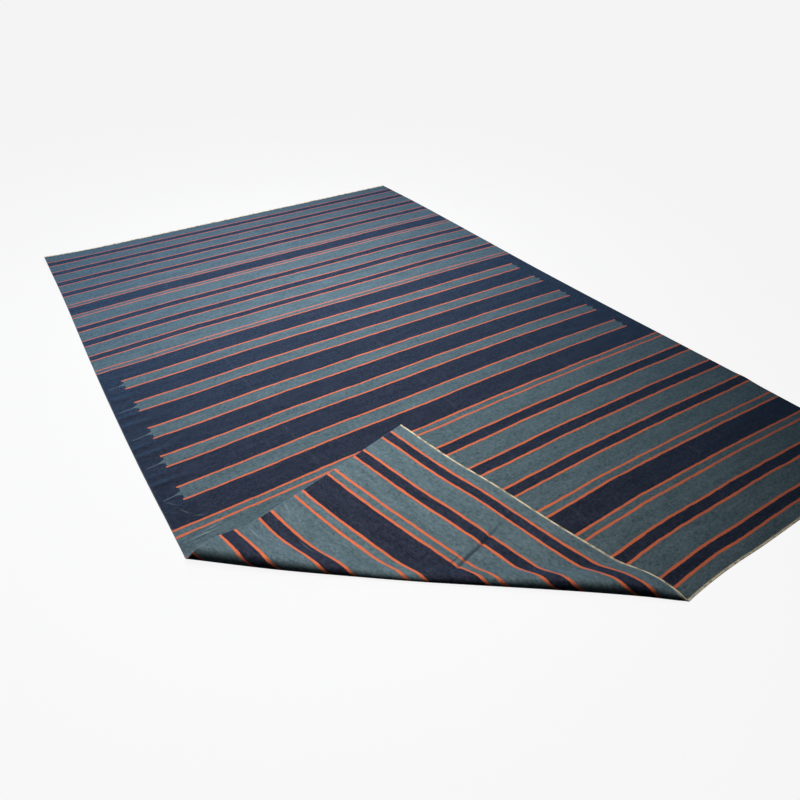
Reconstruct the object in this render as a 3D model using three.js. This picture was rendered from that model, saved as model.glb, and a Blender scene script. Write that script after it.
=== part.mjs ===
// A flat-woven cotton dhurrie rug, lying on the floor with its near left corner folded over.
// Millimetres. +X runs across the rug to the right, +Y along it to the far end, +Z up.
// The origin is on the floor, under the middle of the rug.
import * as THREE from 'three';
import { mergeVertices } from 'three/addons/utils/BufferGeometryUtils.js';

// The cloth as it is cut, measured from its near left corner.
const RUG_WIDTH = 2400;
const RUG_LENGTH = 3707;
const CLOTH_THICKNESS = 3;

// The twisted cord that finishes each end.
const CORD_RADIUS = 3;
const CORD_GAP = 0.4;
const CORD_SIDES = 8;

// The fold line runs from the left selvage to the near end.
const FOLD_ON_SELVAGE = 942;
const FOLD_ON_NEAR_END = 1202;
const LAYER_GAP = 6;

// The roll of the fold, from its selvage end (along 0) to its near end (along 1).
// height: how tall the roll stands over the lower layer's middle.
// bulge: how far it swells past the place where it lifts off the floor.
// fall: the run over which the top layer comes down from the crest.
// shift: how far the roll lies inward of the straight fold line, or outward where negative.
const FOLD_ROLL = [
  { along: 0.0, height: 60, bulge: 17, fall: 245, shift: 7 },
  { along: 0.2, height: 47, bulge: 12, fall: 130, shift: -6 },
  { along: 0.4, height: 27, bulge: 9.5, fall: 73, shift: -8 },
  { along: 0.5, height: 25, bulge: 10, fall: 65, shift: -8 },
  { along: 0.6, height: 30, bulge: 11, fall: 66, shift: -6 },
  { along: 0.8, height: 46, bulge: 12, fall: 89, shift: -2 },
  { along: 0.93, height: 47, bulge: 11, fall: 142, shift: -2 },
  { along: 1.0, height: 31, bulge: 9, fall: 142, shift: -5 },
];
const SECTION_STEPS = 48;

// How far the wefts stray towards the far end, or towards the near end where negative, at places
// along the rug. The near left corner was pulled longest, and the cloth arches in the middle.
const BOW_PLACES = {
  nearEnd: 0,
  nearBand: 442,
  pair: 1092,
  field: 1492,
  upper: 1992,
  farBand: 2592,
};
const WEFT_BOW = [
  { across: 0.0, nearEnd: -58, nearBand: -38, pair: -12, field: -10, upper: -2, farBand: -20 },
  { across: 0.12, nearEnd: -37, nearBand: -24, pair: -8, field: -9, upper: -3, farBand: -4 },
  { across: 0.2, nearEnd: -40, nearBand: -23, pair: -4, field: -4, upper: 3, farBand: 3 },
  { across: 0.3, nearEnd: -35, nearBand: -26, pair: 1, field: 1, upper: 8, farBand: 3 },
  { across: 0.45, nearEnd: -33, nearBand: -10, pair: -2, field: 1, upper: 6, farBand: 4 },
  { across: 0.53, nearEnd: -11, nearBand: -3, pair: 1, field: 4, upper: 2, farBand: 2 },
  { across: 0.6, nearEnd: -2, nearBand: 4, pair: 4, field: 5, upper: -1, farBand: 1 },
  { across: 0.67, nearEnd: -2.5, nearBand: 3, pair: 4, field: 4, upper: -4, farBand: 2 },
  { across: 0.8, nearEnd: 1, nearBand: 1, pair: 2, field: 0, upper: -7, farBand: 4 },
  { across: 1.0, nearEnd: -20, nearBand: -13, pair: -7, field: -18, upper: -15, farBand: -9 },
];

// How far each selvage strays to the right of straight, along the rug.
const SELVAGE_SWAY = [
  { along: 0, left: -3, right: -4 },
  { along: 240, left: -5.5, right: -0.5 },
  { along: 490, left: -8, right: 1 },
  { along: 740, left: -5.5, right: 2.5 },
  { along: 890, left: 6, right: 0.5 },
  { along: 990, left: 7.5, right: -0.5 },
  { along: 1490, left: -2.5, right: -6 },
  { along: 1990, left: -4.5, right: -7 },
  { along: 2490, left: 0, right: 3 },
  { along: 2990, left: 8.5, right: 11 },
  { along: 3290, left: 11, right: 13 },
  { along: RUG_LENGTH, left: 11, right: 6 },
];

// The far left corner curls up off the floor.
const CURL = { height: 14, across: 550, along: 250 };

// The cloth's rows of facets. A folded row runs parallel to the fold line; reach is its distance
// from the near left corner, as a share of the fold line's own distance.
const FOLDED_ROWS = [
  { from: 0.01, to: 0.64, rows: 6 },
  { from: 0.64, to: 0.88, rows: 6 },
  { from: 0.88, to: 1.06, rows: 18 },
];
// The other rows fan out to the far end: selvage is where a row meets the left selvage,
// edge is where it meets the other side, measured along the near end and then the right selvage.
const FLAT_ROWS = [
  { selvage: 1500, edge: RUG_WIDTH, rows: 8 },
  { selvage: RUG_LENGTH, edge: RUG_WIDTH + RUG_LENGTH, rows: 12 },
];
const COLUMNS = 20;

// How far to either side of a place the cloth's slope is read there.
const SLOPE_STEP = 0.5;

const COLOURS = { teal: 0x3f5860, cream: 0xc8b98c };

// A smooth value from a table's column, with the slope at each row taken from its neighbours.
function smoothValue(table, key, column, at) {
  const last = table.length - 1;
  if (at <= table[0][key]) return table[0][column];
  if (at >= table[last][key]) return table[last][column];
  const i = table.findIndex((row, index) => index < last && at < table[index + 1][key]);
  const slope = (j) => {
    const [a, b] = [table[Math.max(j - 1, 0)], table[Math.min(j + 1, last)]];
    return (b[column] - a[column]) / (b[key] - a[key]);
  };
  const span = table[i + 1][key] - table[i][key];
  const s = (at - table[i][key]) / span;
  const [startWeight, endWeight] = [2 * s ** 3 - 3 * s ** 2 + 1, 3 * s ** 2 - 2 * s ** 3];
  return (
    table[i][column] * startWeight +
    table[i + 1][column] * endWeight +
    slope(i) * span * (s ** 3 - 2 * s ** 2 + s) +
    slope(i + 1) * span * (s ** 3 - s ** 2)
  );
}

// The bow of the wefts at a place on the cloth. The far end is straight.
function weftBow(u, v) {
  const stations = Object.entries(BOW_PLACES).map(([column, along]) => ({
    along,
    bow: smoothValue(WEFT_BOW, 'across', column, u / RUG_WIDTH),
  }));
  stations.push({ along: RUG_LENGTH, bow: 0 });
  return smoothValue(stations, 'along', 'bow', v);
}

// The sideways stray of the cloth at a place on it.
function sway(u, v) {
  const left = smoothValue(SELVAGE_SWAY, 'along', 'left', v);
  const right = smoothValue(SELVAGE_SWAY, 'along', 'right', v);
  return THREE.MathUtils.lerp(left, right, u / RUG_WIDTH);
}

// How far the curled corner lifts the cloth.
function curlHeight(u, v) {
  const across = Math.max(0, 1 - u / CURL.across);
  const along = Math.max(0, 1 - (RUG_LENGTH - v) / CURL.along);
  return CURL.height * across ** 3 * along ** 2;
}

// The fold line as a place and two directions: along it, and inward from it.
const FOLD_START = new THREE.Vector2(0, FOLD_ON_SELVAGE);
const FOLD_SPAN = new THREE.Vector2(FOLD_ON_NEAR_END, -FOLD_ON_SELVAGE);
const FOLD_LENGTH = FOLD_SPAN.length();
const ALONG_FOLD = FOLD_SPAN.clone().normalize();
const ACROSS_FOLD = new THREE.Vector2(-ALONG_FOLD.y, ALONG_FOLD.x);

const FLOOR_LAYER = CLOTH_THICKNESS / 2;
const TOP_LAYER = FLOOR_LAYER + CLOTH_THICKNESS + LAYER_GAP;

// The middle of the cloth in a cross-section of the roll: half an ellipse from the floor to the
// crest (share 0 to 0.5), then an even slope down to the top layer (share 0.5 to 1).
function sectionPoint(share, roll) {
  const crest = FLOOR_LAYER + roll.height;
  if (share <= 0.5) {
    const turn = (2 * share - 0.5) * Math.PI;
    const rise = (roll.height / 2) * (1 + Math.sin(turn));
    return new THREE.Vector2(roll.bulge * (1 - Math.cos(turn)), FLOOR_LAYER + rise);
  }
  const down = 2 * share - 1;
  const left = (1 + Math.cos(Math.PI * down)) / 2;
  return new THREE.Vector2(roll.bulge + roll.fall * down, TOP_LAYER + (crest - TOP_LAYER) * left);
}

// Walks a length of cloth along the section from where it lifts off the floor.
function walkSection(length, roll) {
  let walked = 0;
  let here = sectionPoint(0, roll);
  for (let step = 1; step <= SECTION_STEPS; step += 1) {
    const next = sectionPoint(step / SECTION_STEPS, roll);
    const stride = here.distanceTo(next);
    if (walked + stride >= length) return here.lerp(next, (length - walked) / stride);
    walked += stride;
    here = next;
  }
  return new THREE.Vector2(here.x + length - walked, TOP_LAYER);
}

// Where the middle of the cloth lies: u across from the left selvage, v along from the near end.
function clothPlace(u, v) {
  const flat = new THREE.Vector2(u + sway(u, v), v + weftBow(u, v));
  const fromFold = flat.clone().sub(FOLD_START);
  const along = fromFold.dot(ALONG_FOLD);
  const inward = fromFold.dot(ACROSS_FOLD);
  const roll = {};
  for (const column of ['height', 'bulge', 'fall', 'shift']) {
    roll[column] = smoothValue(FOLD_ROLL, 'along', column, along / FOLD_LENGTH);
  }
  const lifted = roll.bulge + roll.shift - inward;
  let height = FLOOR_LAYER + curlHeight(u, v);
  if (lifted > 0) {
    const section = walkSection(lifted, roll);
    flat.copy(FOLD_START).addScaledVector(ALONG_FOLD, along);
    flat.addScaledVector(ACROSS_FOLD, section.x + roll.shift);
    height = section.y;
  }
  return new THREE.Vector3(flat.x - RUG_WIDTH / 2, flat.y - RUG_LENGTH / 2, height);
}

// The cloth's upward side at a place on it, before folding.
function clothNormal(u, v) {
  const acrossRug = clothPlace(u + SLOPE_STEP, v).sub(clothPlace(u - SLOPE_STEP, v));
  const alongRug = clothPlace(u, v + SLOPE_STEP).sub(clothPlace(u, v - SLOPE_STEP));
  return acrossRug.cross(alongRug).normalize();
}

// Each row of facets as its two ends: selvage on the left, edge on the other side.
function rowEnds() {
  const ends = [];
  for (const { from, to, rows } of FOLDED_ROWS) {
    for (let row = 0; row < rows; row += 1) {
      const reach = THREE.MathUtils.lerp(from, to, row / rows);
      ends.push({ selvage: reach * FOLD_ON_SELVAGE, edge: reach * FOLD_ON_NEAR_END });
    }
  }
  const lastReach = FOLDED_ROWS.at(-1).to;
  let start = { selvage: lastReach * FOLD_ON_SELVAGE, edge: lastReach * FOLD_ON_NEAR_END };
  ends.push(start);
  for (const stretch of FLAT_ROWS) {
    for (let row = 1; row <= stretch.rows; row += 1) {
      ends.push({
        selvage: THREE.MathUtils.lerp(start.selvage, stretch.selvage, row / stretch.rows),
        edge: THREE.MathUtils.lerp(start.edge, stretch.edge, row / stretch.rows),
      });
    }
    start = stretch;
  }
  return ends;
}

const ROWS = rowEnds();

// The place on the cloth of one row and a share of the way across it.
function rowPlace(row, share) {
  const { selvage, edge } = ROWS[row];
  const edgeAcross = Math.min(edge, RUG_WIDTH);
  const edgeAlong = Math.max(edge - RUG_WIDTH, 0);
  return { u: edgeAcross * share, v: THREE.MathUtils.lerp(selvage, edgeAlong, share) };
}

// The folded cloth: a grid of facets, two faces thick, bent to the rug's shape.
function clothGeometry() {
  const lastRow = ROWS.length - 1;
  const grid = new THREE.BoxGeometry(1, 1, 1, COLUMNS, lastRow, 1);
  grid.deleteAttribute('normal');
  grid.deleteAttribute('uv');
  const merged = mergeVertices(grid);
  const places = merged.getAttribute('position');
  for (let i = 0; i < places.count; i += 1) {
    const row = Math.round((places.getY(i) + 0.5) * lastRow);
    const { u, v } = rowPlace(row, places.getX(i) + 0.5);
    const point = clothPlace(u, v);
    point.addScaledVector(clothNormal(u, v), places.getZ(i) * CLOTH_THICKNESS);
    places.setXYZ(i, point.x, point.y, Math.max(point.z, 0));
  }
  merged.computeVertexNormals();
  return merged;
}

// A course through set places, with one place at each step.
class SteppedCourse extends THREE.Curve {
  constructor(points) {
    super();
    this.points = points;
    this.lastPoint = points.length - 1;
  }

  getPoint(share) {
    const at = share * this.lastPoint;
    const start = Math.min(Math.floor(at), this.lastPoint - 1);
    return this.points[start].clone().lerp(this.points[start + 1], at - start);
  }

  getPointAt(share) {
    return this.getPoint(share);
  }

  getTangent(share) {
    const halfStep = 0.5 / this.lastPoint;
    const before = this.getPoint(Math.max(share - halfStep, 0));
    return this.getPoint(Math.min(share + halfStep, 1)).sub(before).normalize();
  }

  getTangentAt(share) {
    return this.getTangent(share);
  }
}

// An end cord: a plain round tube beside the cloth's edge, resting on the floor where that is lower.
function cordGeometry(edgePlaces, outward) {
  const offset = outward * (CORD_RADIUS + CORD_GAP);
  const points = edgePlaces.map(({ u, v }) => {
    const point = clothPlace(u, v + offset);
    point.z = Math.max(point.z, CORD_RADIUS);
    return point;
  });
  const section = new THREE.Shape();
  for (let side = 0; side < CORD_SIDES; side += 1) {
    const turn = (2 * Math.PI * side) / CORD_SIDES;
    const [x, y] = [CORD_RADIUS * Math.cos(turn), CORD_RADIUS * Math.sin(turn)];
    if (side === 0) section.moveTo(x, y);
    else section.lineTo(x, y);
  }
  return new THREE.ExtrudeGeometry(section, {
    steps: points.length - 1,
    extrudePath: new SteppedCourse(points),
  });
}

// The near end is where the rows end, from the folded tip to the near right corner.
function nearEndPlaces() {
  const corner = { u: 0, v: 0 };
  const ends = ROWS.filter(({ edge }) => edge <= RUG_WIDTH).map(({ edge }) => ({ u: edge, v: 0 }));
  return [corner, ...ends];
}

// The far end is the last row.
function farEndPlaces() {
  const stations = Array.from({ length: COLUMNS + 1 }, (_, column) => column / COLUMNS);
  return stations.map((share) => rowPlace(ROWS.length - 1, share));
}

const clothFinish = new THREE.MeshStandardMaterial({ color: COLOURS.teal, roughness: 0.95, metalness: 0 });
const cordFinish = new THREE.MeshStandardMaterial({ color: COLOURS.cream, roughness: 0.9, metalness: 0 });

const rug = new THREE.Group();

function addPiece(name, geometry, finish) {
  const piece = new THREE.Mesh(geometry, finish);
  piece.name = name;
  rug.add(piece);
}

addPiece('rug_cloth', clothGeometry(), clothFinish);
addPiece('near_end_cord', cordGeometry(nearEndPlaces(), -1), cordFinish);
addPiece('far_end_cord', cordGeometry(farEndPlaces(), 1), cordFinish);

export default rug;
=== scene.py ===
"""A flat-woven cotton dhurrie rug: teal and navy stripes edged with orange, a twisted cream cord at
both ends, lying on the floor with its near left corner folded over.

Metres. On the cloth, u runs across from the left selvage and v along from the near end. In the room,
+X is across the rug, +Y along it and +Z up, and the origin is on the floor under its middle.
"""
import math

import bmesh
import bpy
from mathutils import Matrix, Vector, noise


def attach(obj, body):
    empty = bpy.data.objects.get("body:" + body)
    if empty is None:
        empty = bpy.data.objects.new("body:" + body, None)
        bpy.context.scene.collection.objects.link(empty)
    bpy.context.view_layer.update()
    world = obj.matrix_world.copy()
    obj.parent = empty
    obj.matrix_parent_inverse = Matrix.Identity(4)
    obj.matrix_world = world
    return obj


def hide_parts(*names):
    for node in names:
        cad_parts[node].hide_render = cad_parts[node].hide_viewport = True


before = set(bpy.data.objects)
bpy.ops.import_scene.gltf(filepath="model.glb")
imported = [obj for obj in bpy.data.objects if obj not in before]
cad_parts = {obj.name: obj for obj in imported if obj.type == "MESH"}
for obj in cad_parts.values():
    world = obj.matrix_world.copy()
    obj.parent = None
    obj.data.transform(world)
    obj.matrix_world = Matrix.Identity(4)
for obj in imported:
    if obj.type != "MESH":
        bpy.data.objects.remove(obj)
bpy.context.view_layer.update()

MM = 0.001

# The cloth, lying flat and straight.
RUG_WIDTH = 2.400
RUG_LENGTH = 3.707
CLOTH_THICKNESS = 3 * MM
SELVAGE_BEAD = 3.8 * MM

# The fold line runs from the left selvage to the near end.
FOLD_ON_SELVAGE = 0.942
FOLD_ON_NEAR_END = 1.202
LAYER_GAP = 6 * MM

# The roll of the fold, from its selvage end (along 0) to its near end (along 1), in millimetres.
# height: how tall it stands. bulge: how far it swells outward. fall: the run over which the top
# layer comes down from the crest. shift: how far it lies inward of the straight fold line.
FOLD_ROLL = [
    {"along": 0.0, "height": 60, "bulge": 17, "fall": 245, "shift": 7},
    {"along": 0.2, "height": 47, "bulge": 12, "fall": 130, "shift": -6},
    {"along": 0.4, "height": 27, "bulge": 9.5, "fall": 73, "shift": -8},
    {"along": 0.5, "height": 25, "bulge": 10, "fall": 65, "shift": -8},
    {"along": 0.6, "height": 30, "bulge": 11, "fall": 66, "shift": -6},
    {"along": 0.8, "height": 46, "bulge": 12, "fall": 89, "shift": -2},
    {"along": 0.93, "height": 47, "bulge": 11, "fall": 142, "shift": -2},
    {"along": 1.0, "height": 31, "bulge": 9, "fall": 142, "shift": -5},
]

# How many steps the section of the roll is walked in, and each table below is read in.
SECTION_STEPS = 48
LOOKUP_STEPS = 400

# How far the wefts stray towards the far end, in millimetres: across the rug row by row, and at
# these places along it. At the far end they lie straight.
BOW_PLACES = {
    "near_end": 0,
    "near_band": 0.442,
    "pair": 1.092,
    "field": 1.492,
    "upper": 1.992,
    "far_band": 2.592,
    "far_end": RUG_LENGTH,
}
BOW_COLUMNS = ("across", "near_end", "near_band", "pair", "field", "upper", "far_band")
BOW_ROWS = [
    (0.0, -58, -38, -12, -10, -2, -20),
    (0.12, -37, -24, -8, -9, -3, -4),
    (0.2, -40, -23, -4, -4, 3, 3),
    (0.3, -35, -26, 1, 1, 8, 3),
    (0.45, -33, -10, -2, 1, 6, 4),
    (0.53, -11, -3, 1, 4, 2, 2),
    (0.6, -2, 4, 4, 5, -1, 1),
    (0.67, -2.5, 3, 4, 4, -4, 2),
    (0.8, 1, 1, 2, 0, -7, 4),
    (1.0, -20, -13, -7, -18, -15, -9),
]
WEFT_BOW = [dict(zip(BOW_COLUMNS, row)) for row in BOW_ROWS]

# How far each selvage strays to the right of straight, in millimetres, along the rug.
SELVAGE_SWAY = [
    {"along": 0, "left": -3, "right": -4},
    {"along": 0.24, "left": -5.5, "right": -0.5},
    {"along": 0.49, "left": -8, "right": 1},
    {"along": 0.74, "left": -5.5, "right": 2.5},
    {"along": 0.89, "left": 6, "right": 0.5},
    {"along": 0.99, "left": 7.5, "right": -0.5},
    {"along": 1.49, "left": -2.5, "right": -6},
    {"along": 1.99, "left": -4.5, "right": -7},
    {"along": 2.49, "left": 0, "right": 3},
    {"along": 2.99, "left": 8.5, "right": 11},
    {"along": 3.29, "left": 11, "right": 13},
    {"along": RUG_LENGTH, "left": 11, "right": 6},
]

# The far left corner curls up off the floor.
CURL_HEIGHT = 14 * MM
CURL_ACROSS = 0.55
CURL_ALONG = 0.25

# Soft creases where it was folded for storage, each running the whole length. lean: how far a
# crease strays to the right for each metre along.
STORAGE_CREASES = [
    {"across": 0.600, "lean": -0.028, "height": 2.2 * MM, "width": 10 * MM},
    {"across": 1.21, "lean": 0, "height": 1.0 * MM, "width": 12 * MM},
    {"across": 1.82, "lean": 0, "height": 1.1 * MM, "width": 12 * MM},
]
CREASE_WANDER = {"across": 9, "along": 3, "layer": 3}
CREASE_WANDER_REACH = 6 * MM
CREASE_STRENGTH = {"across": 5, "along": 2.3, "layer": 7}
CREASE_MEAN_STRENGTH = 0.6

# The sharper crease that lies sunk in the turned-over corner. It starts a little way from the end.
CORNER_CREASE = {"across": 0.606, "lean": 0.070}
CORNER_CREASE_DEPTH = 6 * MM
CORNER_CREASE_WIDTH = 8 * MM
CORNER_CREASE_STARTS = 0.07
CORNER_CREASE_FULL = 0.20
CORNER_WANDER_REACH = 4 * MM

# The cloth's own unevenness, on the floor and in the turned-over corner. across, along: waves a
# metre. layer: which layer of the noise it is. height: how far it lifts or sinks.
UNDULATIONS = [
    {"across": 2.6, "along": 1.7, "layer": 11, "height": 1.2 * MM},
    {"across": 7, "along": 9, "layer": 23, "height": 0.5 * MM},
]
CORNER_UNDULATION = {"across": 6, "along": 6, "layer": 31, "height": 0.8 * MM}

# Thin tension lines, raised, each from one place to another, and painted pale as a highlight.
TENSION_LINES = [
    {"from": (0.008, 1.037), "to": (0.170, 1.038), "raised": 4.0 * MM, "pale": 0.50},
    {"from": (0.075, 1.048), "to": (0.165, 1.060), "raised": 1.8 * MM, "pale": 0.30},
    {"from": (0.010, 1.008), "to": (0.090, 1.004), "raised": 2.0 * MM, "pale": 0.15},
    {"from": (0.018, 1.262), "to": (0.062, 1.204), "raised": 1.5 * MM, "pale": 0.16},
    {"from": (0.050, 1.196), "to": (0.084, 1.142), "raised": 1.6 * MM, "pale": 0.17},
    {"from": (0.076, 1.140), "to": (0.130, 1.118), "raised": 1.4 * MM, "pale": 0.17},
    {"from": (0.006, 0.710), "to": (0.100, 0.710), "raised": -1.8 * MM, "pale": 0.48},
    {"from": (0.040, 0.717), "to": (0.120, 0.711), "raised": -1.5 * MM, "pale": 0.36},
    {"from": (0.070, 0.692), "to": (0.220, 0.677), "raised": -1.2 * MM, "pale": 0.22},
    {"from": (0.157, 0.617), "to": (0.285, 0.628), "raised": -1.0 * MM, "pale": 0.20},
    {"from": (0.002, 0.552), "to": (0.044, 0.568), "raised": -2.0 * MM, "pale": 0.50},
]
TENSION_WIDTH = 3.5 * MM

# Low swells in the cloth where it isn't pulled flat: a place, its reach each way and its height.
SWELLS = [
    {"u": 0.05, "v": 1.19, "across": 0.09, "along": 0.040, "height": 4 * MM},
    {"u": 0.04, "v": 1.356, "across": 0.08, "along": 0.016, "height": 4.2 * MM},
    {"u": 0.05, "v": 1.405, "across": 0.07, "along": 0.014, "height": 3.2 * MM},
    {"u": 0.05, "v": 1.545, "across": 0.08, "along": 0.017, "height": 4.2 * MM},
    {"u": 0.04, "v": 1.600, "across": 0.06, "along": 0.015, "height": 3.5 * MM},
    {"u": 0.04, "v": 1.760, "across": 0.08, "along": 0.018, "height": 3.5 * MM},
    {"u": 0.04, "v": 1.825, "across": 0.07, "along": 0.014, "height": 4.2 * MM},
    {"u": 0.03, "v": 1.970, "across": 0.08, "along": 0.020, "height": 3.2 * MM},
    {"u": 2.38, "v": 0.630, "across": 0.08, "along": 0.040, "height": 4 * MM},
]

# The distances over which the detail fades in beyond the fold line. SUNK_CLEARANCE: where it starts
# in the turned-over corner, in roll heights from where the cloth lifts off the floor.
SWELLS_FADE_IN = 0.10
TENSION_FADES_IN = 0.03
SUNK_FADES_IN = 0.05
SUNK_CLEARANCE = 1.4

# The cloth's grid: even stations, closer ones at its edges and about each crease, and edges cut
# again where the cloth bends, and near the tension lines and swells. CREASE_FOLLOWED_AT: how far
# along the rug the closer stations, which run straight, meet a leaning crease.
CLOTH_STEP = 22 * MM
EDGE_STATIONS = [0, 1.2 * MM, 3 * MM, 6 * MM, 10 * MM]
CREASE_STEP = 6 * MM
CREASE_REACH = 20 * MM
CREASE_FOLLOWED_AT = 0.24
BEND_OUTSIDE = -0.17
BEND_INSIDE = 0.05
BEND_CUTS = 3
TENSION_REACH = 16 * MM
SWELL_REACH = 1.8
DETAIL_CUTS = 5
DETAIL_LONGEST = 8 * MM

# The rims: a bead along each selvage, and every edge rounded off.
BEAD_MIDDLE = 3 * MM
BEAD_WIDTH = 2.2 * MM
RIM_WIDTH = 3 * MM
RIM_THINNEST = 0.45

# The stripes: each row is an orange line's middle, and the ground that follows it to the next line.
ORANGE_WIDTH_NEAR = 9.2 * MM
ORANGE_WIDTH_FIELD = 8.4 * MM
ORANGE_WIDTH_FAR = 6.8 * MM
NEAR_STRIPES = [
    (0.0515, "navy"), (0.0966, "teal"), (0.1907, "navy"), (0.2386, "teal"),
    (0.3293, "teal"), (0.3622, "navy"), (0.4737, "teal"), (0.5086, "teal"),
    (0.6066, "navy"), (0.6571, "teal"), (0.7537, "navy"), (0.8098, "teal"),
    (0.9154, "navy"), (0.9710, "teal"), (1.0722, "teal"), (1.1055, "navy"),
]
FAR_STRIPES = [
    (2.2318, "teal"), (2.2634, "teal"), (2.3667, "navy"), (2.4164, "teal"),
    (2.5210, "navy"), (2.5799, "teal"), (2.6822, "navy"), (2.7363, "teal"),
    (2.8460, "teal"), (2.8780, "navy"), (2.9800, "teal"), (3.0120, "teal"),
    (3.1221, "navy"), (3.1762, "teal"), (3.2726, "navy"), (3.3288, "teal"),
    (3.4270, "navy"), (3.4810, "teal"), (3.5700, "navy"), (3.6230, "teal"),
]

# The five teal stripes of the navy field, each between two orange lines, stop short of the selvages
# in stepped finials. The right finials are shorter.
FIELD_STRIPES = [
    {"from": 1.2324, "to": 1.3093, "left": 0.088, "right": 2.316},
    {"from": 1.4386, "to": 1.5094, "left": 0.091, "right": 2.316},
    {"from": 1.6323, "to": 1.7086, "left": 0.099, "right": 2.316},
    {"from": 1.8419, "to": 1.9150, "left": 0.099, "right": 2.316},
    {"from": 2.0391, "to": 2.1111, "left": 0.091, "right": 2.316},
]
FIELD_WINDOW = 0.090
ORANGE_RUNS_ON = 6 * MM
RIGHT_FINIAL = 0.6
FINIAL_STEPS = [
    {"half": 11 * MM, "out": 8 * MM},
    {"half": 6.5 * MM, "out": 8 * MM},
    {"half": 2.5 * MM, "out": 9 * MM},
]

# The twisted cord of each end.
STRANDS = 2
STRAND_RADIUS = 1.6 * MM
TWIST_RADIUS = 1.4 * MM
TWIST_PITCH = 7.6 * MM
TWIST_STEPS = 8
STRAND_SIDES = 6
COURSE_STEP = 6 * MM

# The camera stands at a standing person's eye height, off the folded corner.
CAMERA_PLACE = (-1.34715, -2.4753, 1.66588)
CAMERA_HEADING = (0.5251, 0.8511)
CAMERA_PITCH = math.radians(36.231)
CAMERA_ROLL = math.radians(0.861)
CAMERA_LENS = 29.857
CAMERA_SENSOR = 36.0

# Two softboxes over the middle and the near end, both tipped to the left, and a dim room.
SOFTBOX_SIZE = 0.9
SOFTBOXES = [
    {
        "name": "softbox_middle",
        "place": (0.24, 0.57, 1.80),
        "target": (-0.60, 1.80, 0),
        "power": 67,
        "colour": (0.96, 1, 1.07),
    },
    {
        "name": "softbox_near",
        "place": (-0.28, -1.18, 1.98),
        "target": (-0.98, 0.49, 0),
        "power": 61,
        "colour": (1, 1, 1),
    },
]
ROOM_LIGHT = 0.02
BACKDROP_LIGHT = 0.82
FLOOR_COLOUR = (0.05, 0.05, 0.051)
FLOOR_ROUGHNESS = 0.9
FLOOR_GLOW = 0.90
FLOOR_SIZE = 30
FLOOR_DROP = 0.3 * MM


def smooth_value(table, key, column, at):
    """A smooth value from a table's column, with the slope at each row taken from its neighbours."""
    last = len(table) - 1
    if at <= table[0][key]:
        return table[0].get(column, 0)
    if at >= table[last][key]:
        return table[last].get(column, 0)
    i = next(index for index in range(last) if at < table[index + 1][key])

    def slope(j):
        before, after = table[max(j - 1, 0)], table[min(j + 1, last)]
        return (after.get(column, 0) - before.get(column, 0)) / (after[key] - before[key])

    span = table[i + 1][key] - table[i][key]
    s = (at - table[i][key]) / span
    start_weight = 2 * s**3 - 3 * s**2 + 1
    return (
        table[i].get(column, 0) * start_weight
        + table[i + 1].get(column, 0) * (1 - start_weight)
        + slope(i) * span * (s**3 - 2 * s**2 + s)
        + slope(i + 1) * span * (s**3 - s**2)
    )


def lookup(table, key):
    """The table's columns as evenly spaced smooth values, read by blending between neighbours."""
    low, high = table[0][key], table[-1][key]
    columns = {column for row in table for column in row} - {key}
    places = [low + (high - low) * step / LOOKUP_STEPS for step in range(LOOKUP_STEPS + 1)]
    values = {column: [smooth_value(table, key, column, at) for at in places] for column in columns}

    def read(column, at):
        place = min(max((at - low) / (high - low), 0), 1) * LOOKUP_STEPS
        start = min(int(place), LOOKUP_STEPS - 1)
        row = values[column]
        return row[start] + (row[start + 1] - row[start]) * (place - start)

    return read


read_roll = lookup(FOLD_ROLL, "along")
read_bow = lookup(WEFT_BOW, "across")
read_sway = lookup(SELVAGE_SWAY, "along")


def weft_bow(u, v):
    """How far a weft strays towards the far end."""
    places = [
        {"along": along, "bow": read_bow(column, u / RUG_WIDTH) if column != "far_end" else 0}
        for column, along in BOW_PLACES.items()
    ]
    return smooth_value(places, "along", "bow", v) * MM


def sway(u, v):
    """How far the cloth strays to the right, blended between its two selvages."""
    left, right = read_sway("left", v), read_sway("right", v)
    return (left + (right - left) * u / RUG_WIDTH) * MM


def curl_height(u, v):
    """How far the far left corner curls up."""
    across = max(0, 1 - u / CURL_ACROSS)
    along = max(0, 1 - (RUG_LENGTH - v) / CURL_ALONG)
    return CURL_HEIGHT * across**3 * along**2


def off_line(u, v, line):
    """How far a place on the cloth is from a line between two places."""
    start, end = Vector(line["from"]), Vector(line["to"])
    run = end - start
    along = (Vector((u, v)) - start).dot(run) / run.length_squared
    return (Vector((u, v)) - start.lerp(end, min(max(along, 0), 1))).length


def tension_height(u, v):
    """How far the tension lines lift the cloth."""
    height = 0
    for line in TENSION_LINES:
        height += line["raised"] * math.exp(-((off_line(u, v, line) / TENSION_WIDTH) ** 2))
    return height


def wave(u, v, cells):
    """Smooth noise about zero, by its cells across and along and its layer."""
    return noise.noise(Vector((u * cells["across"], v * cells["along"], cells["layer"])))


def off_crease(u, v, crease, wander_reach):
    """How far a place lies to the right of a crease that wanders a little."""
    wander = wander_reach * wave(crease["across"], v, CREASE_WANDER)
    return u - crease["across"] - crease["lean"] * v - wander


def swell_size(u, v, swell):
    """How many reaches a place is from the middle of a swell, squared."""
    return ((u - swell["u"]) / swell["across"]) ** 2 + ((v - swell["v"]) / swell["along"]) ** 2


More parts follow.
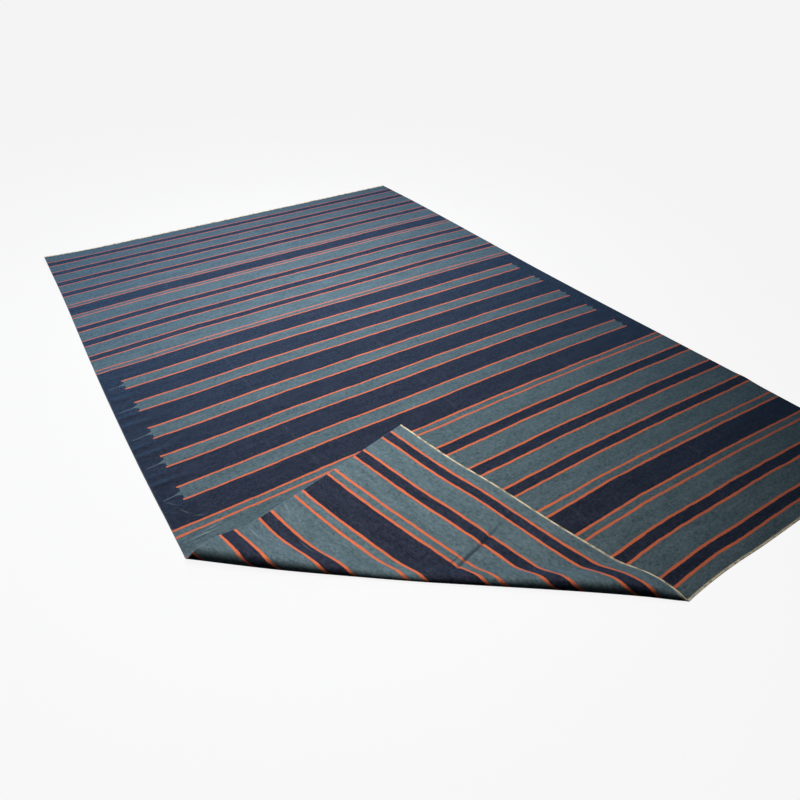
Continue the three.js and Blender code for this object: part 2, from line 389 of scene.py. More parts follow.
def swell_height(u, v):
    """How far the cloth stands off the floor in its swells, creases and undulations."""
    height = 0
    for swell in SWELLS:
        height += swell["height"] * math.exp(-swell_size(u, v, swell))
    for crease in STORAGE_CREASES:
        away = off_crease(u, v, crease, CREASE_WANDER_REACH) / crease["width"]
        strength = CREASE_MEAN_STRENGTH * (1 + wave(crease["across"], v, CREASE_STRENGTH))
        height += crease["height"] * strength * math.exp(-away * away)
    for undulation in UNDULATIONS:
        height += undulation["height"] * max(wave(u, v, undulation), 0)
    return max(height, 0)


def sunk_depth(u, v):
    """How deep the corner's crease and the cloth's own unevenness lie in the turned-over corner."""
    uneven = CORNER_UNDULATION["height"] * wave(u, v, CORNER_UNDULATION)
    away = off_crease(u, v, CORNER_CREASE, CORNER_WANDER_REACH) / CORNER_CREASE_WIDTH
    started = (v - CORNER_CREASE_STARTS) / (CORNER_CREASE_FULL - CORNER_CREASE_STARTS)
    strength = min(max(started, 0), 1)
    return uneven + CORNER_CREASE_DEPTH * strength * math.exp(-away * away)


FOLD_START = Vector((0, FOLD_ON_SELVAGE))
FOLD_SPAN = Vector((FOLD_ON_NEAR_END, -FOLD_ON_SELVAGE))
FOLD_LENGTH = FOLD_SPAN.length
ALONG_FOLD = FOLD_SPAN.normalized()
ACROSS_FOLD = Vector((-ALONG_FOLD.y, ALONG_FOLD.x))
FLOOR_LAYER = CLOTH_THICKNESS / 2
TOP_LAYER = FLOOR_LAYER + CLOTH_THICKNESS + LAYER_GAP


def section_point(share, roll):
    """The middle of the cloth in a cross-section of the roll: half an ellipse, then the way down."""
    crest = FLOOR_LAYER + roll["height"]
    if share <= 0.5:
        turn = (2 * share - 0.5) * math.pi
        rise = roll["height"] / 2 * (1 + math.sin(turn))
        return Vector((roll["bulge"] * (1 - math.cos(turn)), FLOOR_LAYER + rise))
    down = 2 * share - 1
    left = (1 + math.cos(math.pi * down)) / 2
    return Vector((roll["bulge"] + roll["fall"] * down, TOP_LAYER + (crest - TOP_LAYER) * left))


def walk_section(length, roll):
    """Walks a length of cloth along the section from where it lifts off the floor."""
    walked = 0
    here = section_point(0, roll)
    for step in range(1, SECTION_STEPS + 1):
        ahead = section_point(step / SECTION_STEPS, roll)
        stride = (ahead - here).length
        if walked + stride >= length:
            return here.lerp(ahead, (length - walked) / stride)
        walked += stride
        here = ahead
    return Vector((here.x + length - walked, TOP_LAYER))


def cloth_place(u, v):
    """Where the middle of the cloth lies in the room."""
    flat = Vector((u + sway(u, v), v + weft_bow(u, v)))
    from_fold = flat - FOLD_START
    along = from_fold.dot(ALONG_FOLD)
    inward = from_fold.dot(ACROSS_FOLD)
    share = along / FOLD_LENGTH
    roll = {column: read_roll(column, share) * MM for column in ("height", "bulge", "fall", "shift")}
    lifted = roll["bulge"] + roll["shift"] - inward
    if lifted > 0:
        section = walk_section(lifted, roll)
        flat = FOLD_START + along * ALONG_FOLD + (section.x + roll["shift"]) * ACROSS_FOLD
        turned = min(max((lifted - roll["height"] * SUNK_CLEARANCE) / SUNK_FADES_IN, 0), 1)
        height = section.y - (sunk_depth(u, v) + tension_height(u, v)) * turned
    else:
        settled = min(-lifted / SWELLS_FADE_IN, 1)
        height = FLOOR_LAYER + curl_height(u, v) + swell_height(u, v) * settled
        height += max(tension_height(u, v), 0) * min(-lifted / TENSION_FADES_IN, 1)
    return Vector((flat.x - RUG_WIDTH / 2, flat.y - RUG_LENGTH / 2, height))


def spaced(start, end, step):
    """Evenly spaced stations from start to end, about a step apart, without the last."""
    count = max(round((end - start) / step), 1)
    return [start + (end - start) * i / count for i in range(count)]


def stations(size, creases=()):
    """Grid stations over a size: close at both edges and about the creases, even between."""
    rim = EDGE_STATIONS
    stops = [(rim[-1], CLOTH_STEP)]
    for place in sorted(creases):
        stops += [(place - CREASE_REACH, CREASE_STEP), (place + CREASE_REACH, CLOTH_STEP)]
    stops.append((size - rim[-1], None))
    places = list(rim[:-1])
    for (start, step), (end, _) in zip(stops, stops[1:]):
        places += spaced(start, end, step)
    return places + [size - at for at in reversed(rim)]


def is_detailed(u, v):
    """Whether a place is close enough to a tension line or a swell to need a finer grid."""
    if any(off_line(u, v, line) < TENSION_REACH for line in TENSION_LINES):
        return True
    return any(swell_size(u, v, swell) < SWELL_REACH**2 for swell in SWELLS)


def cloth_mesh():
    """The cloth as a grid with its stations on the flat cloth, closer where it bends at the fold."""
    creases = [
        crease["across"] + crease["lean"] * CREASE_FOLLOWED_AT
        for crease in [CORNER_CREASE] + STORAGE_CREASES
    ]
    across = stations(RUG_WIDTH, creases)
    along = stations(RUG_LENGTH)
    mesh = bmesh.new()
    bmesh.ops.create_grid(
        mesh, x_segments=len(across) - 1, y_segments=len(along) - 1, size=0.5
    )
    for vertex in mesh.verts:
        column = round((vertex.co.x + 0.5) * (len(across) - 1))
        row = round((vertex.co.y + 0.5) * (len(along) - 1))
        vertex.co = (across[column], along[row], 0)

    def bends(vertex):
        inward = (vertex.co.xy - FOLD_START).dot(ACROSS_FOLD)
        return BEND_OUTSIDE < inward < BEND_INSIDE

    bend = [edge for edge in mesh.edges if any(bends(vertex) for vertex in edge.verts)]
    bmesh.ops.subdivide_edges(mesh, edges=bend, cuts=BEND_CUTS, use_grid_fill=True)

    def needs_cuts(edge):
        middle = (edge.verts[0].co + edge.verts[1].co) / 2
        return edge.calc_length() > DETAIL_LONGEST and is_detailed(middle.x, middle.y)

    detailed = [edge for edge in mesh.edges if needs_cuts(edge)]
    bmesh.ops.subdivide_edges(mesh, edges=detailed, cuts=DETAIL_CUTS, use_grid_fill=True)
    return mesh


def edge_thickness(u, v):
    """The cloth's share of its greatest thickness: round selvages with a bead, thinner ends."""
    plain = CLOTH_THICKNESS / SELVAGE_BEAD
    from_selvage = min(u, RUG_WIDTH - u)
    from_end = min(v, RUG_LENGTH - v)
    bead = math.exp(-(((from_selvage - BEAD_MIDDLE) / BEAD_WIDTH) ** 2))
    share = plain + (1 - plain) * bead
    for away in (from_selvage, from_end):
        if away < RIM_WIDTH:
            rounding = math.sqrt(max(1 - (1 - away / RIM_WIDTH) ** 2, 0))
            share *= RIM_THINNEST + (1 - RIM_THINNEST) * rounding
    return share


def weave_cloth(face_side, reverse_side):
    """The cloth: laid flat, given its cloth coordinates, then carried to its place in the room."""
    mesh = cloth_mesh()
    coordinates = mesh.loops.layers.uv.new("cloth")
    thickness = mesh.verts.layers.deform.verify()
    for face in mesh.faces:
        face.smooth = True
        for loop in face.loops:
            loop[coordinates].uv = loop.vert.co.xy
    for vertex in mesh.verts:
        u, v = vertex.co.xy
        share = edge_thickness(u, v)
        vertex[thickness][0] = share
        vertex.co = cloth_place(u, v)
        vertex.co.z += max(share * SELVAGE_BEAD - CLOTH_THICKNESS, 0) / 2
    data = bpy.data.meshes.new("dhurrie_cloth")
    mesh.to_mesh(data)
    mesh.free()
    data.materials.append(face_side)
    data.materials.append(reverse_side)
    cloth = bpy.data.objects.new("dhurrie_cloth", data)
    bpy.context.collection.objects.link(cloth)
    cloth.vertex_groups.new(name="thickness")
    solid = cloth.modifiers.new("thickness", "SOLIDIFY")
    solid.thickness = SELVAGE_BEAD
    solid.offset = 0
    solid.vertex_group = "thickness"
    solid.use_even_offset = False
    solid.material_offset = 1
    return cloth


def twist_strand(mesh, course, start_turn):
    """One strand of a twisted cord as a tube of rings about its course."""
    rings = []
    turn_step = 2 * math.pi / TWIST_STEPS
    step_length = TWIST_PITCH / TWIST_STEPS
    count = int(course.length / step_length)
    for step in range(count + 1):
        place, ahead = course.at(step * step_length)
        side = Vector((0, 0, 1)).cross(ahead).normalized()
        above = ahead.cross(side).normalized()
        turn = start_turn + step * turn_step
        away = side * math.cos(turn) + above * math.sin(turn)
        centre = place + away * TWIST_RADIUS
        lead = (ahead * TWIST_PITCH / (2 * math.pi * TWIST_RADIUS) + ahead.cross(away)).normalized()
        beside = lead.cross(away)
        ring = []
        for corner in range(STRAND_SIDES):
            around = 2 * math.pi * corner / STRAND_SIDES
            spoke = away * math.cos(around) + beside * math.sin(around)
            ring.append(mesh.verts.new(centre + spoke * STRAND_RADIUS))
        rings.append(ring)
    return rings


class Course:
    """A course through places, read by the distance along it."""

    def __init__(self, places):
        self.places = places
        self.reached = [0]
        for before, after in zip(places, places[1:]):
            self.reached.append(self.reached[-1] + (after - before).length)
        self.length = self.reached[-1]
        self.leg = 0

    def at(self, distance):
        """The place at a distance along the course, and which way it runs there."""
        while self.leg < len(self.places) - 2 and self.reached[self.leg + 1] < distance:
            self.leg += 1
        while self.leg > 0 and self.reached[self.leg] > distance:
            self.leg -= 1
        before, after = self.places[self.leg], self.places[self.leg + 1]
        span = self.reached[self.leg + 1] - self.reached[self.leg]
        share = (distance - self.reached[self.leg]) / span
        ahead = self.places[min(self.leg + 2, len(self.places) - 1)] - self.places[max(self.leg - 1, 0)]
        return before.lerp(after, share), ahead.normalized()


def twist_cord(name, edge, outward, material):
    """A twisted cord along an end of the cloth, outward of it."""
    radius = STRAND_RADIUS + TWIST_RADIUS
    places = []
    for u in spaced(0, RUG_WIDTH, COURSE_STEP) + [RUG_WIDTH]:
        place = cloth_place(u, edge + outward * radius)
        place.z = max(place.z, radius)
        places.append(place)
    course = Course(places)
    mesh = bmesh.new()
    coordinates = mesh.loops.layers.uv.new("strand")
    for strand in range(STRANDS):
        rings = twist_strand(mesh, course, 2 * math.pi * strand / STRANDS)
        for row, (ring, following) in enumerate(zip(rings, rings[1:])):
            for corner in range(STRAND_SIDES):
                beside = (corner + 1) % STRAND_SIDES
                face = mesh.faces.new((ring[corner], ring[beside], following[beside], following[corner]))
                face.smooth = True
                ends = ((0, 0), (1, 0), (1, 1), (0, 1))
                for loop, (around, on) in zip(face.loops, ends):
                    loop[coordinates].uv = ((corner + around) / STRAND_SIDES, (row + on) / TWIST_STEPS)
        for ring in (rings[0][::-1], rings[-1]):
            mesh.faces.new(ring)
    bmesh.ops.recalc_face_normals(mesh, faces=mesh.faces)
    data = bpy.data.meshes.new(name)
    mesh.to_mesh(data)
    mesh.free()
    data.materials.append(material)
    cord = bpy.data.objects.new(name, data)
    bpy.context.collection.objects.link(cord)
    return cord


class Value:
    """A number that varies over a surface, worked out by shader nodes."""

    def __init__(self, tree, source):
        self.tree = tree
        self.source = source

    def join(self, operation, other=0.0, third=0.0):
        """A math node that takes this value first, then the others."""
        node = self.tree.nodes.new("ShaderNodeMath")
        node.operation = operation
        for socket, value in zip(node.inputs, (self, other, third)):
            if isinstance(value, Value):
                self.tree.links.new(value.source, socket)
            else:
                socket.default_value = value
        return Value(self.tree, node.outputs[0])

    def __add__(self, other):
        return self.join("ADD", other)

    def __sub__(self, other):
        return self.join("SUBTRACT", other)

    def __mul__(self, other):
        return self.join("MULTIPLY", other)

    def __truediv__(self, other):
        return self.join("DIVIDE", other)

    def __lt__(self, other):
        return self.join("LESS_THAN", other)

    def __gt__(self, other):
        return self.join("GREATER_THAN", other)

    def size(self):
        """How far it is from nothing, either way."""
        return self.join("ABSOLUTE")

    def sine(self):
        return self.join("SINE")

    def lowest(self, other):
        return self.join("MINIMUM", other)

    def highest(self, other):
        return self.join("MAXIMUM", other)

    def power(self, other):
        return self.join("POWER", other)

    def floor(self):
        return self.join("FLOOR")

    def within(self, middle, half):
        """One where the value is within half of the middle, and nothing elsewhere."""
        return self.join("COMPARE", middle, half)

    def rising(self, low, high):
        """Nothing up to low, rising softly to one at high."""
        node = self.tree.nodes.new("ShaderNodeMapRange")
        node.interpolation_type = "SMOOTHSTEP"
        self.tree.links.new(self.source, node.inputs["Value"])
        node.inputs["From Min"].default_value = low
        node.inputs["From Max"].default_value = high
        return Value(self.tree, node.outputs["Result"])


class Finish:
    """A material and the shader nodes that it is laid from."""

    def __init__(self, name, roughness, sheen, sheen_roughness, sheen_tint):
        self.material = bpy.data.materials.new(name)
        self.material.use_nodes = True
        self.tree = self.material.node_tree
        self.shader = self.tree.nodes["Principled BSDF"]
        self.shader.inputs["Roughness"].default_value = roughness
        self.shader.inputs["Specular IOR Level"].default_value = COTTON_SPECULAR
        self.shader.inputs["Sheen Weight"].default_value = sheen
        self.shader.inputs["Sheen Roughness"].default_value = sheen_roughness
        self.shader.inputs["Sheen Tint"].default_value = (*sheen_tint, 1)

    def node(self, kind, **inputs):
        """A shader node with its inputs by name, each a plain number or a Value."""
        node = self.tree.nodes.new(kind)
        for name, value in inputs.items():
            socket = node.inputs[name.replace("_", " ")]
            if isinstance(value, Value):
                self.tree.links.new(value.source, socket)
            else:
                socket.default_value = value
        return node

    def surface_coordinates(self, layer):
        """The two coordinates that a mesh carries in one of its layers."""
        source = self.tree.nodes.new("ShaderNodeUVMap")
        source.uv_map = layer
        split = self.node("ShaderNodeSeparateXYZ")
        self.tree.links.new(source.outputs["UV"], split.inputs["Vector"])
        return Value(self.tree, split.outputs["X"]), Value(self.tree, split.outputs["Y"])

    def place(self, x, y, z=0.0):
        """A place at which a noise is read."""
        node = self.node("ShaderNodeCombineXYZ", X=x, Y=y, Z=z)
        return Value(self.tree, node.outputs["Vector"])

    def mottle(self, x, y, layer=0.0, detail=1.0):
        """Soft noise from 0 to 1 over a place given in the noise's own cells."""
        node = self.node("ShaderNodeTexNoise", Vector=self.place(x, y, layer), Scale=1.0, Detail=detail)
        return Value(self.tree, node.outputs["Fac"])

    def blend(self, share, first, second):
        """A colour between two, each a colour or a Value."""
        node = self.tree.nodes.new("ShaderNodeMix")
        node.data_type = "RGBA"
        for name, value in (("Factor_Float", share), ("A_Color", first), ("B_Color", second)):
            socket = next(s for s in node.inputs if s.identifier == name)
            if isinstance(value, Value):
                self.tree.links.new(value.source, socket)
            elif name == "Factor_Float":
                socket.default_value = value
            else:
                socket.default_value = (*value, 1)
        output = next(s for s in node.outputs if s.identifier == "Result_Color")
        return Value(self.tree, output)

    def shade(self, colour, brightness):
        """A colour made lighter or darker by a number near 1."""
        node = self.tree.nodes.new("ShaderNodeHueSaturation")
        self.tree.links.new(colour.source, node.inputs["Color"])
        self.tree.links.new(brightness.source, node.inputs["Value"])
        return Value(self.tree, node.outputs["Color"])

    def finish(self, colour, relief, depth):
        """Lays the colour and the relief, and returns the material."""
        self.tree.links.new(colour.source, self.shader.inputs["Base Color"])
        bump = self.node("ShaderNodeBump", Height=relief, Distance=depth)
        self.tree.links.new(bump.outputs["Normal"], self.shader.inputs["Normal"])
        return self.material


# The yarns, each with the paler or duller one that it is mixed with, then lint and painted highlight.
TEAL = (0.030, 0.053, 0.057)
TEAL_PALE = (0.117, 0.159, 0.175)
NAVY = (0.0016, 0.0018, 0.0046)
NAVY_PALE = (0.0310, 0.0330, 0.0520)
ORANGE = (0.61, 0.142, 0.053)
ORANGE_DULL = (0.46, 0.100, 0.041)
CREAM = (0.80, 0.68, 0.47)
KHAKI = (0.20, 0.155, 0.08)
LINT = (0.34, 0.34, 0.32)
# The grey of the painted highlight on creases, tension lines and selvage beads.
PAINTED_HIGHLIGHT_GREY = (0.30, 0.33, 0.35)

COTTON_ROUGHNESS = 0.9
COTTON_SPECULAR = 0.10
CLOTH_SHEEN = {"sheen": 0.27, "sheen_roughness": 0.43, "sheen_tint": (0.16, 0.50, 1.0)}
CORD_SHEEN = {"sheen": 0.3, "sheen_roughness": 0.5, "sheen_tint": (1.0, 0.95, 0.85)}

WARP_PITCH = 3.6 * MM
WEFT_PITCH = 1.1 * MM
WEAVE_RELIEF = 0.7 * MM
CORD_RELIEF = 0.6 * MM

# The soft noises of the cloth. across, along: cells a metre. layer: which layer of the noise it is.
# detail: how many finer noises it carries.
NOISES = {
    "long_stray": {"across": 7, "along": 12, "layer": 4, "detail": 1},
    "short_stray": {"across": 30, "along": 50, "layer": 9, "detail": 1},
    "line_width": {"across": 14, "along": 30, "layer": 15, "detail": 1},
    "step_stray": {"across": 40, "along": 160, "layer": 21, "detail": 1},
    "dye_lots": {"across": 0.5, "along": 60, "layer": 31, "detail": 1},
    "dye_clouds": {"across": 5, "along": 14, "layer": 35, "detail": 1},
    "heather": {"across": 130, "along": 520, "layer": 41, "detail": 2},
    "clouds": {"across": 9, "along": 34, "layer": 61, "detail": 2},
    "slubs": {"across": 48, "along": 130, "layer": 67, "detail": 2},
    "tufts": {"across": 60, "along": 62, "layer": 47, "detail": 1},
    "picks": {"across": 90, "along": 330, "layer": 53, "detail": 1},
    "lint": {"across": 190, "along": 260, "layer": 71, "detail": 1},
}

# How far the stripes' edges, their finials' steps and the picks stray, from one side to the other.
LONG_STRAY = 7 * MM
SHORT_STRAY = 4 * MM
LINE_WIDTH_STRAY = 2.4 * MM
STEP_STRAY = 3 * MM
PICK_STRAY = 1 * MM

# Where the paler yarn shows: from a noise's low to its high, and the share that it gives.
GRAIN = [
    {"noise": "slubs", "low": 0.36, "high": 0.64, "share": 0.24},
    {"noise": "tufts", "low": 0.34, "high": 0.66, "share": 0.16},
    {"noise": "picks", "low": 0.36, "high": 0.64, "share": 0.40},
    {"noise": "clouds", "low": 0.32, "high": 0.68, "share": 0.20},
]
ORANGE_GRAIN = 0.7
DYE_LEAST = 0.78
DYE_SPREAD = 0.44
LINT_LOW = 0.77
LINT_HIGH = 0.81
LINT_SHARE = 0.8

# A thin painted highlight on the pucker slanting from each field stripe's left end to near the selvage.
PUCKER_SLANT = 0.10
PUCKER_HALF = 1.6 * MM
PUCKER_FROM = 20 * MM
PUCKER_GAP = 8 * MM
PUCKER_SHARE = 0.85

# How pale the painted highlight makes the creases, the tension lines and the selvages, and where
# painted shade darkens the corner's crease: rising along it, then falling.
CREASE_STRAY = {"along": 1.3, "layers": 30, "reach": 12 * MM}
CREASE_SHARE = 0.05
CORNER_STRAY = {"along": 9, "row": 0.5, "layer": 81, "reach": 10 * MM}
CORNER_DARK_WIDTH = 11 * MM
CORNER_DARKEST_WIDTH = 1 * MM
CORNER_DARK_RISES = (0.02, 0.28)
CORNER_DARK_FALLS = (0.39, 0.33)
TENSION_PALE_WIDTH = 3.2 * MM
TENSION_PALEST_WIDTH = 0.8 * MM
BEAD_PALE_WIDTH = 4.0 * MM
BEAD_PALEST_WIDTH = 1.5 * MM
BEAD_SHARE = 0.30

# The cream warps that show bare between the last weft and the cord.
WARPS_BARE_WITHIN = 2.5 * MM
WARP_BARE_ABOVE = 0.45
WARP_SHARE = 0.8

THREAD_ROUNDNESS = 0.6
THREAD_SHARE = 0.8
HEATHER_SHARE = 0.5

# The cords' fibres, which slant as the strands turn, and the patches of soil on them: cells to a
# turn of the twist and around the strand. spread, least: how far the fibres vary in brightness.
# low, high: where the soil starts and where it is full. share: how much it covers then.
FIBRES = {"around": 14, "slant": 3, "turns": 4, "layer": 5, "detail": 2, "spread": 0.6, "least": 0.7}
SOIL = {
    "around": 0.3, "turns": 0.27, "layer": 2, "detail": 2, "low": 0.42, "high": 0.66, "share": 0.85,
}


def total(values):
    """Several values added up."""
    first, *others = values
    for value in others:
        first = first + value
    return first


def on_lines(v, lines, half):
    """One on any of the lines, and nothing between them."""
    return total(v.within(line, half) for line in lines).lowest(1.0)


def in_bands(v, bands):
    """One inside any of the bands, and nothing outside them."""
    return total(v.within((start + end) / 2, (end - start) / 2) for start, end in bands).lowest(1.0)


def navy_bands():
    """The navy bands that run from selvage to selvage, each from one orange line to the next."""
    rows = NEAR_STRIPES + FAR_STRIPES
    return [
        (line, following)
        for (line, ground), (following, _) in zip(rows, rows[1:])
        if ground == "navy"
    ]


class Weave(Finish):
    """The striped weft-faced weave, laid on the cloth's own coordinates."""

    def __init__(self, name):
        super().__init__(name, COTTON_ROUGHNESS, **CLOTH_SHEEN)
        self.u, self.v = self.surface_coordinates("cloth")
        self.short_stray = self.noise("short_stray") - 0.5
        self.clouds = self.noise("clouds")
        windows = []
        for row in FIELD_STRIPES:
            middle = (row["from"] + row["to"]) / 2
            window = self.v.within(middle, FIELD_WINDOW)
            windows.append((window, (self.v - middle) * window, row))
        self.in_window = total(window for window, _, _ in windows)
        self.off_middle = total(off for _, off, _ in windows)
        self.left = total(window * row["left"] for window, _, row in windows)
        self.right = total(window * row["right"] for window, _, row in windows)

    def noise(self, name):
        """One of the cloth's soft noises, from 0 to 1."""
        row = NOISES[name]
        return self.mottle(self.u * row["across"], self.v * row["along"], row["layer"], row["detail"])

    def field_ends(self):
        """Where the navy field's teal runs, out to its stepped finials, and where its lines run."""
        off_middle = self.off_middle.size() + (self.in_window * -1 + 1)
        reach = total((off_middle < step["half"]) * step["out"] for step in FINIAL_STEPS)
        stray = (self.noise("step_stray") - 0.5) * STEP_STRAY
        start = self.left + stray
        stop = self.right + stray
        in_teal = (self.u > (start - reach)) * (self.u < (stop + reach * RIGHT_FINIAL))
        in_lines = (self.u > (start - ORANGE_RUNS_ON)) * (self.u < (stop + ORANGE_RUNS_ON))
        return in_teal, in_lines

    def stripes(self):
        """Where the ground is navy and where the lines are orange: one there, nothing elsewhere."""
        long_stray = (self.noise("long_stray") - 0.5) * LONG_STRAY
        beaten = self.v + long_stray + self.short_stray * SHORT_STRAY
        uneven = (self.noise("line_width") - 0.5) * LINE_WIDTH_STRAY
        near_places = [line for line, _ in NEAR_STRIPES]
        far_places = [line for line, _ in FAR_STRIPES]
        field_places = [row[side] for row in FIELD_STRIPES for side in ("from", "to")]
        near = on_lines(beaten, near_places, uneven + ORANGE_WIDTH_NEAR / 2)
        far = on_lines(beaten, far_places, uneven + ORANGE_WIDTH_FAR / 2)
        field = on_lines(beaten, field_places, uneven + ORANGE_WIDTH_FIELD / 2)
        field_teal = in_bands(beaten, [(row["from"], row["to"]) for row in FIELD_STRIPES])
        in_teal, in_lines = self.field_ends()
        navy = in_bands(beaten, navy_bands()) * ((field_teal * in_teal) * -1 + 1)
        orange = near.highest(far).highest(field * in_lines)
        return navy, orange

    def yarns(self, navy, orange, paleness_and_painted_light):
        """The dyed yarns, with their grain and the lint that lies on them."""
        grain = total(
            self.noise(row["noise"]).rising(row["low"], row["high"]) * row["share"] for row in GRAIN
        )
        dyes = self.noise("dye_lots") * 0.5 + self.noise("dye_clouds") * 0.5
        dyed = dyes * DYE_SPREAD + DYE_LEAST
        teal_yarn = self.blend(grain, TEAL, TEAL_PALE)
        navy_yarn = self.blend(grain, NAVY, NAVY_PALE)
        orange_yarn = self.blend(grain * ORANGE_GRAIN, ORANGE, ORANGE_DULL)
        # Brightening: partly paler reverse yarn, partly painted light on the flap; lines get half of it.
        ground = self.shade(self.blend(navy, teal_yarn, navy_yarn), dyed * paleness_and_painted_light)
        lines = self.shade(orange_yarn, dyed * ((paleness_and_painted_light + 1) / 2))
        lint = self.noise("lint").rising(LINT_LOW, LINT_HIGH)
        return self.blend(lint * LINT_SHARE, self.blend(orange, ground, lines), LINT)

    def pucker_highlights(self):
        """The painted highlight of the pucker beyond the left end of each field stripe."""
        off = (self.off_middle + (self.left - self.u) * PUCKER_SLANT).size()
        beyond = (self.u > PUCKER_FROM) * (self.u < (self.left - PUCKER_GAP))
        return (off < PUCKER_HALF) * self.in_window * beyond

    def off_crease(self, crease, stray, reach):
        """How far a place lies from a leaning crease that strays."""
        place = self.u - crease["across"] - self.v * crease["lean"]
        return (place + (stray - 0.5) * reach).size()

    def storage_crease_highlights(self):
        """The painted highlight along the storage creases, soft and broad."""
        creases = []
        for row in STORAGE_CREASES:
            layer = row["across"] * CREASE_STRAY["layers"]
            stray = self.mottle(self.v * CREASE_STRAY["along"], 0.0, layer)
            off = self.off_crease(row, stray, CREASE_STRAY["reach"])
            creases.append(off.rising(row["width"], 0.0))
        return total(creases)

    def painted_crease_shade(self):
        """The painted shade in the crease of the turned-over corner."""
        along = self.v * CORNER_STRAY["along"]
        stray = self.mottle(along, CORNER_STRAY["row"], CORNER_STRAY["layer"])
        off = self.off_crease(CORNER_CREASE, stray, CORNER_STRAY["reach"])
        dark = off.rising(CORNER_DARK_WIDTH, CORNER_DARKEST_WIDTH)
        return dark * self.v.rising(*CORNER_DARK_FALLS) * self.v.rising(*CORNER_DARK_RISES)

    def tension_highlights(self):
        """The painted highlight along the tension lines, palest in the middle of each."""
        lines = []
        for row in TENSION_LINES:
            start, end = Vector(row["from"]), Vector(row["to"])
            run = (end - start).normalized()
            middle = (start + end) / 2
            along = (self.u - middle.x) * run.x + (self.v - middle.y) * run.y
            off = ((self.u - middle.x) * run.y - (self.v - middle.y) * run.x).size()
            inside = along.size().rising((end - start).length / 2, 0.0)
            lines.append(off.rising(TENSION_PALE_WIDTH, TENSION_PALEST_WIDTH) * inside * row["pale"])
        return total(lines)

    def bead(self):
        """The painted highlight along the bead of each selvage."""
        from_selvage = self.u.lowest(self.u * -1 + RUG_WIDTH)
        return from_selvage.rising(BEAD_PALE_WIDTH, BEAD_PALEST_WIDTH)

    def bare_warps(self):
        """The warps that show at both ends."""
        from_end = self.v.lowest(self.v * -1 + RUG_LENGTH)
        warps = (self.u * (math.pi / WARP_PITCH)).sine().size()
        return (from_end < WARPS_BARE_WITHIN) * (warps > WARP_BARE_ABOVE)

    def relief(self):
        """The round wefts, passing over and under the warps by turns."""
        pick = (self.v + self.short_stray * PICK_STRAY) / WEFT_PITCH
        passed = (pick.floor() * 0.5 + self.u / WARP_PITCH) * math.pi
        hump = passed.sine().size()
        thread = (pick * math.pi).sine().size()
        weave = hump * thread.power(THREAD_ROUNDNESS) * THREAD_SHARE
        return weave + self.noise("heather") * HEATHER_SHARE


def striped_cotton(name, paleness_and_painted_light, crease_shade):
    """One side's weave, by its brightening (paler yarn and painted light) and its crease's painted
    shade.
    """
    weave = Weave(name)
    navy, orange = weave.stripes()
    colour = weave.yarns(navy, orange, paleness_and_painted_light)
    # Painted highlight on the puckers' ridges, in the pale teal yarn's colour.
    colour = weave.blend(weave.pucker_highlights() * PUCKER_SHARE, colour, TEAL_PALE)
    # Painted highlight along the storage creases.
    colour = weave.blend(weave.storage_crease_highlights() * weave.clouds * CREASE_SHARE, colour, PAINTED_HIGHLIGHT_GREY)
    # Painted shade darkening the corner's crease.
    colour = weave.shade(colour, weave.painted_crease_shade() * -crease_shade + 1)
    # Painted highlight along the tension lines.
    colour = weave.blend(weave.tension_highlights(), colour, PAINTED_HIGHLIGHT_GREY)
    # Painted highlight along the selvage beads.
    colour = weave.blend(weave.bead() * BEAD_SHARE, colour, PAINTED_HIGHLIGHT_GREY)
    colour = weave.blend(weave.bare_warps() * WARP_SHARE, colour, CREAM)
    return weave.finish(colour, weave.relief(), WEAVE_RELIEF)


def cream_cotton():
    """The undyed yarn of the end cords, soiled in patches."""
    cord = Finish("cream_cotton", COTTON_ROUGHNESS, **CORD_SHEEN)
    around, turns = cord.surface_coordinates("strand")
    slanting = around * FIBRES["around"] + turns * FIBRES["slant"]
    fibres = cord.mottle(slanting, turns * FIBRES["turns"], FIBRES["layer"], FIBRES["detail"])
    patches = cord.mottle(turns * SOIL["turns"], around * SOIL["around"], SOIL["layer"], SOIL["detail"])
    soiled = patches.rising(SOIL["low"], SOIL["high"])
    colour = cord.blend(soiled * SOIL["share"], CREAM, KHAKI)
    colour = cord.shade(colour, fibres * FIBRES["spread"] + FIBRES["least"])
    return cord.finish(colour, fibres, CORD_RELIEF)


def make_camera():
    """The camera where the photograph was taken from."""
    data = bpy.data.cameras.new("camera")
    data.sensor_width = CAMERA_SENSOR
    data.lens = CAMERA_LENS
    camera = bpy.data.objects.new("camera", data)
    bpy.context.collection.objects.link(camera)
    heading = Vector((*CAMERA_HEADING, 0)).normalized()
    level = heading.cross(Vector((0, 0, 1)))
    ahead = heading * math.cos(CAMERA_PITCH) - Vector((0, 0, math.sin(CAMERA_PITCH)))
    down = ahead.cross(level)
    right = level * math.cos(CAMERA_ROLL) + down * math.sin(CAMERA_ROLL)
    down = down * math.cos(CAMERA_ROLL) - level * math.sin(CAMERA_ROLL)
    turn = Matrix((right, -down, -ahead)).transposed()
    camera.matrix_world = Matrix.Translation(CAMERA_PLACE) @ turn.to_4x4()
    bpy.context.scene.camera = camera


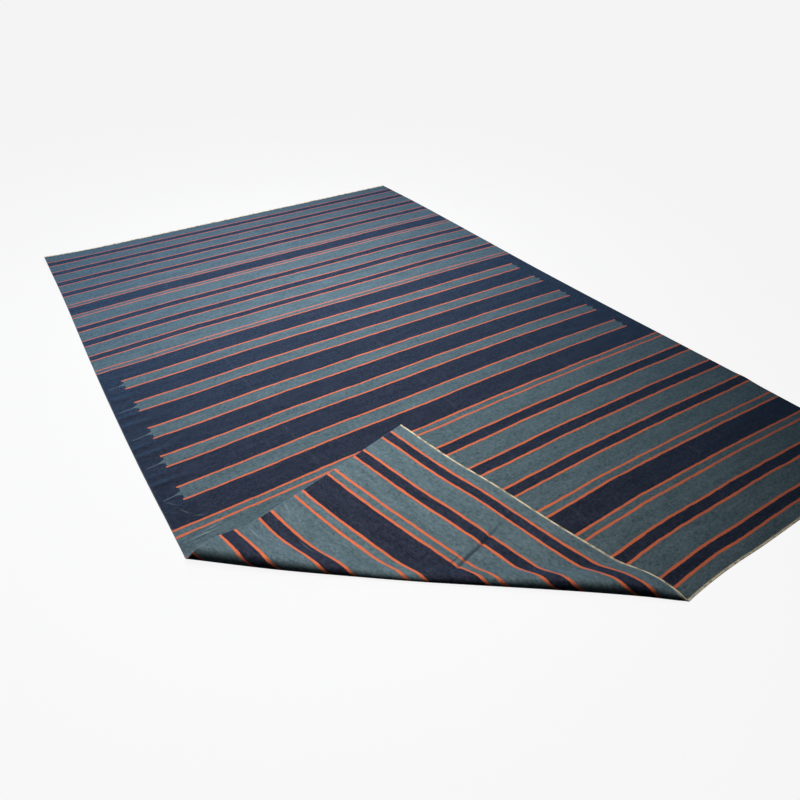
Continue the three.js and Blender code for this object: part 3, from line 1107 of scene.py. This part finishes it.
def make_floor():
    """A pale floor that glows to the camera alone, so that it stays white without lighting the rug."""
    mesh = bmesh.new()
    bmesh.ops.create_grid(mesh, x_segments=1, y_segments=1, size=FLOOR_SIZE)
    bmesh.ops.translate(mesh, verts=mesh.verts, vec=(0, 0, -FLOOR_DROP))
    data = bpy.data.meshes.new("floor")
    mesh.to_mesh(data)
    mesh.free()
    floor = bpy.data.objects.new("floor", data)
    bpy.context.collection.objects.link(floor)
    plain = bpy.data.materials.new("pale_floor")
    plain.use_nodes = True
    nodes, links = plain.node_tree.nodes, plain.node_tree.links
    shader = nodes["Principled BSDF"]
    shader.inputs["Base Color"].default_value = (*FLOOR_COLOUR, 1)
    shader.inputs["Roughness"].default_value = FLOOR_ROUGHNESS
    shader.inputs["Specular IOR Level"].default_value = 0
    shader.inputs["Emission Color"].default_value = (1, 1, 1, 1)
    seen = nodes.new("ShaderNodeLightPath")
    glow = nodes.new("ShaderNodeMath")
    glow.operation = "MULTIPLY"
    glow.inputs[1].default_value = FLOOR_GLOW
    links.new(seen.outputs["Is Camera Ray"], glow.inputs[0])
    links.new(glow.outputs[0], shader.inputs["Emission Strength"])
    data.materials.append(plain)


def make_softbox(name, place, target, power, colour):
    """A square softbox at a place, turned to a target."""
    data = bpy.data.lights.new(name, "AREA")
    data.shape = "RECTANGLE"
    data.size = SOFTBOX_SIZE
    data.size_y = SOFTBOX_SIZE
    data.energy = power
    data.color = colour
    light = bpy.data.objects.new(name, data)
    bpy.context.collection.objects.link(light)
    light.location = place
    aim = Vector(target) - Vector(place)
    light.rotation_euler = aim.to_track_quat("-Z", "Y").to_euler()
    light.visible_camera = False


def light_studio():
    """The softboxes, and a room that is dim apart from its backdrop."""
    for softbox in SOFTBOXES:
        make_softbox(**softbox)
    world = bpy.data.worlds.new("studio")
    world.use_nodes = True
    nodes, links = world.node_tree.nodes, world.node_tree.links
    background = nodes["Background"]
    background.inputs["Color"].default_value = (1, 1, 1, 1)
    seen = nodes.new("ShaderNodeLightPath")
    strength = nodes.new("ShaderNodeMapRange")
    strength.inputs["To Min"].default_value = ROOM_LIGHT
    strength.inputs["To Max"].default_value = BACKDROP_LIGHT
    links.new(seen.outputs["Is Camera Ray"], strength.inputs["Value"])
    links.new(strength.outputs["Result"], background.inputs["Strength"])
    bpy.context.scene.world = world
    bpy.context.scene.view_settings.view_transform = "Standard"


make_camera()
make_floor()
light_studio()

cream = cream_cotton()
face_side = striped_cotton("striped_cotton", paleness_and_painted_light=1.0, crease_shade=0.0)
# The reverse is brightened partly as paler yarn, partly as painted light; its crease gets painted shade.
reverse_side = striped_cotton("striped_cotton_reverse_with_painted_light", paleness_and_painted_light=1.28, crease_shade=0.60)
cloth = weave_cloth(face_side, reverse_side)
near_cord = twist_cord("near_end_cord_twist", 0, -1, cream)
far_cord = twist_cord("far_end_cord_twist", RUG_LENGTH, 1, cream)

for piece, node, slot in (
    (cloth, "rug_cloth", "striped_cotton"),
    (near_cord, "near_end_cord", "cream_cotton"),
    (far_cord, "far_end_cord", "cream_cotton"),
):
    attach(piece, "root")
    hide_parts(node)
